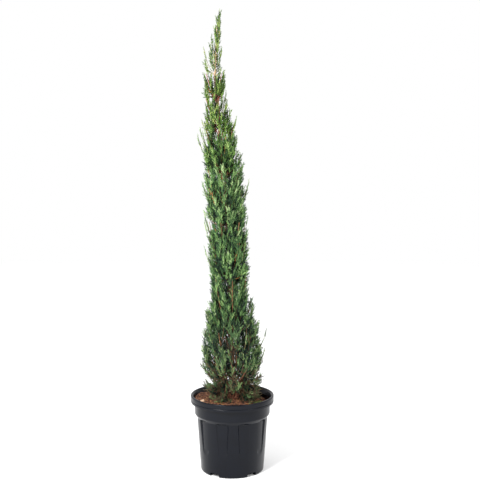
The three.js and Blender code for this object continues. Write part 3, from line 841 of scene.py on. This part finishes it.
def trunk_radius(up):
    taper = lerp(TRUNK_RADIUS, TRUNK_TIP_RADIUS, clamp(up / TRUNK_TOP))
    return taper + TRUNK_FLARE * math.exp(-up / FLARE_UP)


def bark_relief(turn, point, radius):
    """Long shallow fissures and plates, and at the foot the swellings of the roots."""
    round_x, round_y = math.cos(turn), math.sin(turn)
    plate = noise.noise(Vector((round_x * 2.4, round_y * 2.4, point[2] * 26)))
    fissure = abs(noise.noise(Vector((round_x * 5.2, round_y * 5.2, point[2] * 45 + 7))))
    roots = math.exp(-(point[2] - GROUND) / 0.020) * math.cos(turn * 5 + 0.6)
    return radius * (1 + 0.10 * plate - 0.22 * max(0.0, 0.22 - fissure) / 0.22 * 0.5 + 0.14 * roots)


def make_trunk():
    low_ups = np.arange(-TRUNK_SUNK, BARK_FINE_UP, 0.0035)
    ups = np.concatenate([low_ups, np.arange(BARK_FINE_UP, TRUNK_TOP, 0.009), [TRUNK_TOP]])
    points = [crown_point(up, 0, 0) + UP * min(up, 0) for up in ups]
    limbs = Limbs()
    limbs.add(points, [trunk_radius(max(up, 0)) for up in ups], 22, bark_relief)
    keep(limbs.piece("trunk_bark_mesh"), "bark", "trunk", finish=TRUNK_BARK)


def make_boughs(carried):
    limbs = Limbs()
    for space in carried:
        add_twig(limbs, space.bough, BOUGH_RADIUS, BOUGH_TIP_RADIUS, 22, 10, bark_relief)
    nodes = [f"bough_{space.name}" for space in carried]
    keep(limbs.piece("boughs_bark_mesh"), "bark", *nodes, finish=TRUNK_BARK)


# ---- Foliage ----
WOOD_FINISH = {"neck": RED_BARK, "spire": RED_BARK, "leader": LEADER_BARK}
BARE_TWIG_RADIUS = 0.0019


def make_foliage(spaces):
    shelf = make_sprigs()
    for name, _, _, _, boughs, _, slot in TIERS:
        sprays, wood, bare = {}, Limbs(), Limbs()
        tier = [space for space in spaces if space.tier == name]
        for space in tier:
            stem = stem_curve(space, space.bough)
            add_twig(wood, stem, STEM_RADIUS, TWIG_FOOT_RADIUS, 14, 6)
            for plume in plumes_of(space, stem):
                clothe(plume, sprays)
                if plume.kind == "bare":
                    add_twig(bare, plume.curve, BARE_TWIG_RADIUS, TWIG_END_RADIUS * 2, 9, 4)
                else:
                    add_twig(wood, plume.curve, TWIG_FOOT_RADIUS, TWIG_END_RADIUS, 9, 3)
        nodes = [f"foliage_{space.name}" for space in tier]
        bark, bare_bark = WOOD_FINISH.get(name, TWIG_BARK), DRY_TWIG if boughs else BARE_BARK
        for kind, limbs, finish in (("twigs", wood, bark), ("bare_twigs", bare, bare_bark)):
            if limbs.faces:
                keep(limbs.piece(f"{kind}_{name}"), slot, *nodes, finish=finish)
        for tint, spots in sprays.items():
            leaf = leaf_finish(tint, name)
            keep(stand_shapes(f"sprays_{name}_{tint}", spots, shelf, leaf, seed=len(spots)), slot, *nodes)
    empty(shelf)


def make_plant():
    spaces = [space_of(tier, index) for tier in range(len(TIERS)) for index in range(TIERS[tier][1])]
    for space in spaces:
        space.bough = bough_curve(space) if space.boughs else None
    make_trunk()
    make_boughs([space for space in spaces if space.boughs])
    make_foliage(spaces)


# ---- Pot ----
RIBS = 10
POT_TURN = 20  # bearing in degrees of the first rib and the first notch
RIB_PITCH = 360 / RIBS
RIB_HALF_TOP = 7
RIB_HALF_FOOT = 11
FLUTE_SIDE = 1.6
FLUTE_DEPTH = 0.006
FLUTE_TOP = 0.234
FLUTE_FOOT = 0.080
FLUTE_LEAST = 0.3  # how deep a flute still is at its foot, against its top
FLUTE_END = (0.016, 0.024)  # how far a flute's foot rises to its sides, and how tall the slope out of it is
BASE_RADIUS = 0.135
SHOULDER_RADIUS = 0.1515
NOTCHES = 5
NOTCH_WIDTH = 0.045
NOTCH_HEIGHT = 0.016
NOTCH_LENGTH = 0.060  # of the block that cuts it, through the wall
NOTCH_ROUNDING = 0.003
WALL_FROM = 0.12  # what lies further from the axis than this is wall, and the rest is floor
WALL_STEP = 0.0045
LEDGE = 0.004  # how far below the flutes' top the rows crowd
SHARP_FROM = 38  # degrees between two faces that show as an edge
# The pot's section from the middle of its underside, up the outside, over the lip and down to its floor:
# distance from the axis, height, and the radius that rounds the corner.
POT_SECTION = [
    (0.000, 0.018, 0),
    (0.116, 0.018, 0.001),
    (0.118, 0.000, 0.001),
    (BASE_RADIUS - 0.001, 0.000, 0.010),
    (SHOULDER_RADIUS, FLUTE_TOP, 0.0008),
    (SHOULDER_RADIUS + 0.0014, FLUTE_TOP + 0.0018, 0.0012),
    (0.1607, 0.248, 0.005),
    (0.1613, 0.3000, 0.003),
    (0.1660, 0.316, 0.002),
    (0.1747, 0.315, 0.001),
    (0.1747, 0.2955, 0.0005),
    (0.1771, 0.2950, 0.0010),
    (0.1773, 0.3040, 0.0015),
    (0.1757, 0.3057, 0.0008),
    (0.1775, 0.3075, 0.0015),
    (0.1775, 0.3255, 0.0075),
    (0.1697, 0.3260, 0.0040),
    (0.1653, 0.3210, 0.0030),
    (0.1585, 0.3015, 0.0040),
    (0.1585, 0.2520, 0.0030),
    (0.1430, 0.2365, 0.0030),
    (0.1310, 0.0220, 0.0030),
    (0.000, 0.022, 0),
]


def rounded(section, steps=5):
    """The section with an arc at each corner that has a radius."""
    made = []
    for index, (x, z, radius) in enumerate(section):
        corner = np.array([x, z])
        if radius == 0 or index in (0, len(section) - 1):
            made.append(corner)
            continue
        before, after = np.array(section[index - 1][:2]), np.array(section[index + 1][:2])
        back, on = unit(before - corner), unit(after - corner)
        half = math.acos(clamp(float(back @ on), -1, 1)) / 2
        room = min(np.linalg.norm(before - corner), np.linalg.norm(after - corner))
        reach = min(radius / math.tan(half), room * 0.48)
        curve = (corner + back * reach, corner, corner + on * reach)
        made.extend(bezier(curve, share) for share in np.linspace(0, 1, steps))
    return made


def flute_at(height):
    """At a height: half a rib's width and the width of a flute's side in degrees, and the flute's depth."""
    share = clamp((height - FLUTE_FOOT) / (FLUTE_TOP - FLUTE_FOOT))
    deep = lerp(FLUTE_LEAST, 1, share)
    return lerp(RIB_HALF_FOOT, RIB_HALF_TOP, share), FLUTE_SIDE * deep, FLUTE_DEPTH * deep


def rib_columns(height):
    """Bearings in degrees of the wall's columns at a height: they follow the ribs' edges, and crowd there."""
    edge, side, _ = flute_at(height)
    flute = RIB_PITCH - 2 * (edge + side)
    local = [edge * step for step in (-1, -0.94, -0.6, -0.2, 0.2, 0.6, 0.94)]
    local += [edge + side * step for step in (0, 0.2, 0.8)]
    local += [edge + side + flute * step for step in (0, 0.04, 0.25, 0.5, 0.75, 0.96)]
    local += [edge + side + flute + side * step for step in (0, 0.2, 0.8)]
    return [POT_TURN + rib * RIB_PITCH + bearing for rib in range(RIBS) for bearing in local]


def flute_depth(bearing, height):
    """How far the wall is pressed in at a bearing in degrees and a height."""
    edge, side, depth = flute_at(height)
    off = abs((bearing - POT_TURN + RIB_PITCH / 2) % RIB_PITCH - RIB_PITCH / 2)
    across = clamp((off - edge) / (RIB_PITCH / 2 - edge))  # 0 at the rib's edge, 1 in the flute's middle
    top = FLUTE_TOP + 0.0025 * ease(across)
    rise, slope = FLUTE_END
    foot = FLUTE_FOOT + rise * (1 - across) ** 2
    ends = ease((top + 0.0016 - height) / 0.0065) * ease((height - foot) / slope)
    return depth * clamp((off - edge) / side) * ends


def refined(section, step):
    """The section with points added along its long straight wall."""
    made = [section[0]]
    for point in section[1:]:
        last = made[-1]
        tall = last[0] > WALL_FROM and point[0] > WALL_FROM and point[1] - last[1] > step
        pieces = max(1, round((point[1] - last[1]) / step)) if tall else 1
        made.extend(lerp(last, point, (k + 1) / pieces) for k in range(pieces))
    return made


def pot_rows():
    """The whole section, with rows enough up the wall and at the ledge over the flutes."""
    section = refined(rounded(POT_SECTION), WALL_STEP)
    top = next(k for k, (_, z) in enumerate(section) if z > FLUTE_TOP - LEDGE)
    section[top:top] = [lerp(section[top - 1], section[top], share) for share in (0.25, 0.5, 0.75)]
    return section


def pot_shell():
    """One closed skin, inside and out, with the flutes pressed in between the ribs outside."""
    section = pot_rows()
    outside = max(range(len(section)), key=lambda k: section[k][1])
    vertices, faces = [(0, 0, section[0][1])], []
    rows = section[1:-1]
    columns = len(rib_columns(0))
    for row, (radius, height) in enumerate(rows):
        for bearing in rib_columns(height):
            pressed = flute_depth(bearing, height) if row < outside and radius > WALL_FROM else 0
            turn = math.radians(bearing)
            far = radius - pressed
            vertices.append((far * math.cos(turn), far * math.sin(turn), height))
    vertices.append((0, 0, section[-1][1]))
    last = len(vertices) - 1
    for column in range(columns):
        after = (column + 1) % columns
        faces.append((0, 1 + after, 1 + column))
        for row in range(len(rows) - 1):
            a = 1 + row * columns
            faces.append((a + column, a + after, a + columns + after, a + columns + column))
        a = 1 + (len(rows) - 1) * columns
        faces.append((a + column, a + after, last))
    return mesh_object("pot_shell", vertices, faces)


def notch_blocks():
    """A block with rounded edges for each drainage notch, where it cuts the foot ring."""
    blocks = bmesh.new()
    for k in range(NOTCHES):
        made = bmesh.ops.create_cube(blocks, size=1.0)["verts"]
        bmesh.ops.scale(blocks, vec=(NOTCH_LENGTH, NOTCH_WIDTH, 2 * NOTCH_HEIGHT), verts=made)
        edges = list({edge for vert in made for edge in vert.link_edges
                      if abs(edge.verts[0].co.x - edge.verts[1].co.x) > 0.01})
        bevel = bmesh.ops.bevel(blocks, geom=edges, offset=NOTCH_ROUNDING, segments=3, affect="EDGES")
        corners = {vert for face in bevel["faces"] for vert in face.verts} | {v for v in made if v.is_valid}
        corners = list(corners)
        bmesh.ops.translate(blocks, vec=(BASE_RADIUS, 0, 0), verts=corners)
        turned = Matrix.Rotation(math.radians(POT_TURN + k * 360 / NOTCHES), 3, "Z")
        bmesh.ops.rotate(blocks, cent=(0, 0, 0), matrix=turned, verts=corners)
    mesh = bpy.data.meshes.new("notches")
    blocks.to_mesh(mesh)
    blocks.free()
    notches = bpy.data.objects.new("notches", mesh)
    bpy.context.scene.collection.objects.link(notches)
    return notches


def make_pot():
    pot, notches = pot_shell(), notch_blocks()
    cut = pot.modifiers.new("notches", "BOOLEAN")
    cut.operation = "DIFFERENCE"
    cut.solver = "EXACT"
    cut.object = notches
    made_plain(pot)
    bpy.data.objects.remove(notches)
    pot.data.materials.clear()
    pot.data.shade_smooth()
    pot.data.set_sharp_from_angle(angle=math.radians(SHARP_FROM))
    keep(pot, "pot_plastic", "pot", finish=pot_plastic())


def pot_plastic():
    """Semi-gloss black plastic, a little dusty and scuffed."""
    light, dark = linear(9, 12, 20), linear(6, 8, 14)
    finish = mottled("pot_plastic", light, dark, 26, 0.24, contrast=1.6, relief=0.0, specular=0.15)
    tree = finish.node_tree
    wear = node(tree, "ShaderNodeTexNoise", {"Scale": 34.0, "Detail": 6.0, "Roughness": 0.65})
    place = node(tree, "ShaderNodeTexCoord")
    tree.links.new(place.outputs["Object"], wear.inputs["Vector"])
    rough = node(tree, "ShaderNodeMapRange", {
        "Value": wear.outputs[0], "From Min": 0.35, "From Max": 0.72, "To Min": 0.16, "To Max": 0.28,
    })
    tree.links.new(rough.outputs[0], tree.nodes["Principled BSDF"].inputs["Roughness"])
    return finish


# ---- Potting mix ----
MIX_RADIUS = 0.157
MIX_SLOPE = 0.012
MIX_DEEP = 0.03
MIX_RINGS = 44
MIX_COLUMNS = 144
LUMPS = [(38, 0.0032, 1.5), (110, 0.0016, 4.5)]  # how many to the metre, how high, and a layer of the noise
HEAP_HEIGHT = 0.013
HEAP_RADIUS = 0.042


def mix_height(x, y):
    """The top of the mix: sloping a little, lumpy, and heaped round the trunk's foot."""
    far = math.hypot(x, y)
    lumps = sum(noise.noise(Vector((x * many, y * many, layer))) * high for many, high, layer in LUMPS)
    heap = HEAP_HEIGHT * math.exp(-((far / HEAP_RADIUS) ** 2))
    return GROUND - x / MIX_RADIUS * MIX_SLOPE * clamp(far / MIX_RADIUS) + lumps + heap


def make_mix():
    vertices, faces = [(0, 0, mix_height(0, 0))], []
    turns = [column * 2 * math.pi / MIX_COLUMNS for column in range(MIX_COLUMNS)]
    for ring in range(1, MIX_RINGS + 1):
        radius = MIX_RADIUS * ring / MIX_RINGS
        for turn in turns:
            x, y = radius * math.cos(turn), radius * math.sin(turn)
            vertices.append((x, y, mix_height(x, y)))
    under = GROUND - MIX_DEEP
    vertices.extend((MIX_RADIUS * math.cos(turn), MIX_RADIUS * math.sin(turn), under) for turn in turns)
    vertices.append((0, 0, under))
    for column in range(MIX_COLUMNS):
        after = (column + 1) % MIX_COLUMNS
        faces.append((0, 1 + column, 1 + after))
        for ring in range(MIX_RINGS):
            a = 1 + ring * MIX_COLUMNS
            b = a + MIX_COLUMNS
            faces.append((a + column, b + column, b + after, a + after))
        a = 1 + MIX_RINGS * MIX_COLUMNS
        faces.append((a + after, a + column, len(vertices) - 1))
    mix = mesh_object("coir_surface", vertices, faces)
    keep(mix, "potting_mix", "potting_mix", finish=SOIL_FINISH)


# ---- What lies on the mix ----
# Each kind of chip: its colour, how many there are, and the least and the most length.
CHIP_TINTS = {
    "dark": ((58, 38, 30), 620, (0.004, 0.008)),
    "red": ((104, 66, 48), 760, (0.004, 0.009)),
    "coir": ((146, 100, 72), 420, (0.004, 0.008)),
    "pale": ((220, 186, 156), 26, (0.005, 0.009)),
}
PALE_CHIP = (-0.126, -0.050, 0.015)  # the one large light chip, by the wall: place and length
CHIP_SHAPES = 6
CHIP_HALF = (0.28, 0.16, 0.5)
CHIP_KNOCK = 0.18  # how far out of true its corners are knocked
FIBRES = 260
FIBRE_RADIUS = 0.0005
DRY_TWIGS = 300
# How near to the trunk and how far from it a dry twig's foot and tip are, and how high it rises.
DRY_TWIG_FOOT = (0.006, 0.036)
DRY_TWIG_TIP = (0.020, 0.066)
DRY_TWIG_RISE = (0.018, 0.082)
DRY_TWIG_RADIUS = (0.0009, 0.0016)
MOSS = ((0.118, -0.052), 0.042, 300)  # where a patch of moss grows, how wide, how many tufts
MOSS_GREEN = (112, 120, 58)
MOSS_SHADE = (78, 88, 44)


def chip(index):
    """A split bit of bark or coir, one unit long: a six-sided block knocked out of true."""
    seed = index * 31
    width, depth, length = CHIP_HALF
    corners = [(x, y, z) for x in (-width, width) for y in (-depth, depth) for z in (-length, length)]
    vertices = [
        np.array(corner) + [CHIP_KNOCK * (chance(seed + k * 3 + axis) - 0.5) for axis in range(3)]
        for k, corner in enumerate(corners)
    ]
    faces = [(0, 1, 3, 2), (4, 6, 7, 5), (0, 4, 5, 1), (2, 3, 7, 6), (0, 2, 6, 4), (1, 5, 7, 3)]
    return mesh_object(f"chip_{index}", vertices, faces, smooth=False)


def on_mix(x, y, lift=0.0):
    return np.array([x, y, mix_height(x, y) + lift])


def lying(seed, tilt):
    """A direction along the ground, tilted a little up or down."""
    turn = 2 * math.pi * chance(seed)
    return unit(np.array([math.cos(turn), math.sin(turn), tilt * (chance(seed + 0.5) - 0.5)]))


def strewn(seed, wide):
    """A place inside a circle round the axis."""
    far = wide * math.sqrt(chance(seed))
    turn = 2 * math.pi * chance(seed + 0.3)
    return far * math.cos(turn), far * math.sin(turn)


def make_chips():
    shelf = shelf_of("chips", [chip(index) for index in range(CHIP_SHAPES)])
    for tint, (colour, amount, lengths) in CHIP_TINTS.items():
        spots = []
        for k in range(amount):
            seed = amount * 1.37 + k * 2.3
            x, y = strewn(seed, MIX_RADIUS - 0.005)
            spots.append((on_mix(x, y, 0.0012), lying(seed + 0.8, 0.7), lerp(*lengths, chance(seed + 0.6))))
        if tint == "pale":
            x, y, length = PALE_CHIP
            spots.append((on_mix(x, y, 0.003), unit(np.array([1.0, 0.2, 0.25])), length))
        finish = mottled(f"chip_{tint}", linear(*colour), linear(*(0.72 * c for c in colour)), 300, 0.9)
        keep(stand_shapes(f"chips_{tint}", spots, shelf, finish, seed=amount), "potting_mix", "potting_mix")
    empty(shelf)


def make_fibres():
    fibres = Limbs()
    for k in range(FIBRES):
        seed = 900 + k * 1.9
        foot = np.array([*strewn(seed, MIX_RADIUS - 0.02), 0.0])
        run = lying(seed + 0.6, 0.0) * lerp(0.008, 0.020, chance(seed + 0.9))
        bend = np.cross(run, UP) * (chance(seed + 1.2) - 0.5)
        lift = 0.002 + 0.003 * chance(seed + 1.5)
        spots = [foot + run * share + bend * math.sin(share * math.pi) for share in np.linspace(-0.5, 0.5, 5)]
        fibres.add([on_mix(x, y, lift) for x, y, _ in spots], [FIBRE_RADIUS] * 5, 3)
    keep(fibres.piece("coir_fibres"), "potting_mix", "potting_mix", finish=BARE_BARK)


def make_dry_twigs():
    """The tangle of dead, leafless twigs that stands round the trunk's foot."""
    limbs = Limbs()
    for k in range(DRY_TWIGS):
        seed = 400 + k * 2.1
        turn = 2 * math.pi * chance(seed)
        near, far = lerp(*DRY_TWIG_FOOT, chance(seed + 0.2)), lerp(*DRY_TWIG_TIP, chance(seed + 0.4))
        swing = turn + 1.2 * (chance(seed + 0.6) - 0.5)
        least, most = DRY_TWIG_TIP
        rise = lerp(*DRY_TWIG_RISE, chance(seed + 0.8)) * lerp(1.1, 0.55, (far - least) / (most - least))
        foot = on_mix(near * math.cos(turn) - 0.004, near * math.sin(turn), -0.002)
        tip = np.array([far * math.cos(swing) - 0.006, far * math.sin(swing), foot[2] + rise])
        middle = (foot + tip) / 2 + UP * 0.012 * (chance(seed + 1.1) - 0.3)
        middle[:2] += [0.014 * (chance(seed + 1.3) - 0.5), 0.014 * (chance(seed + 1.5) - 0.5)]
        thick = lerp(*DRY_TWIG_RADIUS, chance(seed + 1.7))
        add_twig(limbs, (foot, middle, tip), thick, TWIG_END_RADIUS, 7, 4)
    keep(limbs.piece("dry_twigs"), "bark", "trunk", finish=DRY_TWIG)


def make_moss():
    (x, y), wide, amount = MOSS
    shelf = make_sprigs(amount=3, branchlets=4)
    spots = []
    for k in range(amount):
        seed = 700 + k * 1.7
        turn, far = 2 * math.pi * chance(seed), wide * math.sqrt(chance(seed + 0.3))
        foot = on_mix(x + 0.7 * far * math.cos(turn), y + far * math.sin(turn))
        if math.hypot(foot[0], foot[1]) < MIX_RADIUS - 0.006:
            grows = unit(np.array([chance(seed + 0.5) - 0.5, chance(seed + 0.7) - 0.5, 0.8]))
            spots.append((foot, grows, lerp(0.006, 0.012, chance(seed + 0.9))))
    finish = mottled("moss", linear(*MOSS_GREEN), linear(*MOSS_SHADE), 200, 0.8)
    keep(stand_shapes("moss", spots, shelf, finish, slimness=1.6, seed=9), "potting_mix", "potting_mix")
    empty(shelf)


# ---- Stage ----
FLOOR_SIZE = 14
FLOOR_WHITE = 0.94
# Each soft box's place, its width and height, and its power. Both face the middle of the tree.
LAMPS = {
    "key": ((-2.0, -2.6, 2.9), (1.4, 1.4), 260),
    "fill": ((2.6, -2.2, 2.2), (1.8, 1.8), 60),
}
LAMPS_FACE = (0, 0, 0.9)
CAMERA_PLACE = (0.033, -3.8, 1.376)
CAMERA_LENS = 68.25
CAMERA_DOWN = 5.85  # degrees below level


def studio_light():
    """A plain white room, the same all round."""
    world = bpy.data.worlds.new("studio")
    bpy.context.scene.world = world
    world.use_nodes = True
    room = world.node_tree.nodes["Background"]
    room.inputs["Color"].default_value = (1, 1, 1, 1)
    room.inputs["Strength"].default_value = 1.0


def hold(name, held, place, turn):
    """An object that holds a lamp or the camera in its place."""
    holder = bpy.data.objects.new(name, held)
    holder.location = place
    holder.rotation_euler = turn
    bpy.context.scene.collection.objects.link(holder)
    return holder


def make_stage():
    bpy.ops.mesh.primitive_plane_add(size=FLOOR_SIZE, location=(0, 0, 0))
    floor = bpy.context.object
    floor.name = "floor"
    paint, _ = plain_finish("floor_paint", 0.9, 0.2, (FLOOR_WHITE, FLOOR_WHITE, FLOOR_WHITE, 1))
    floor.data.materials.append(paint)
    studio_light()
    for name, (place, (width, height), power) in LAMPS.items():
        lamp = bpy.data.lights.new(name, "AREA")
        lamp.shape = "RECTANGLE"
        lamp.size = width
        lamp.size_y = height
        lamp.energy = power
        hold(name, lamp, place, (Vector(LAMPS_FACE) - Vector(place)).to_track_quat("-Z", "Y").to_euler())
    camera = bpy.data.cameras.new("camera")
    camera.lens = CAMERA_LENS
    turn = (math.radians(90 - CAMERA_DOWN), 0, 0)
    bpy.context.scene.camera = hold("camera", camera, CAMERA_PLACE, turn)
    bpy.context.scene.view_settings.view_transform = "Standard"


make_stage()
make_plant()
make_pot()
make_mix()
make_chips()
make_fibres()
make_dry_twigs()
make_moss()
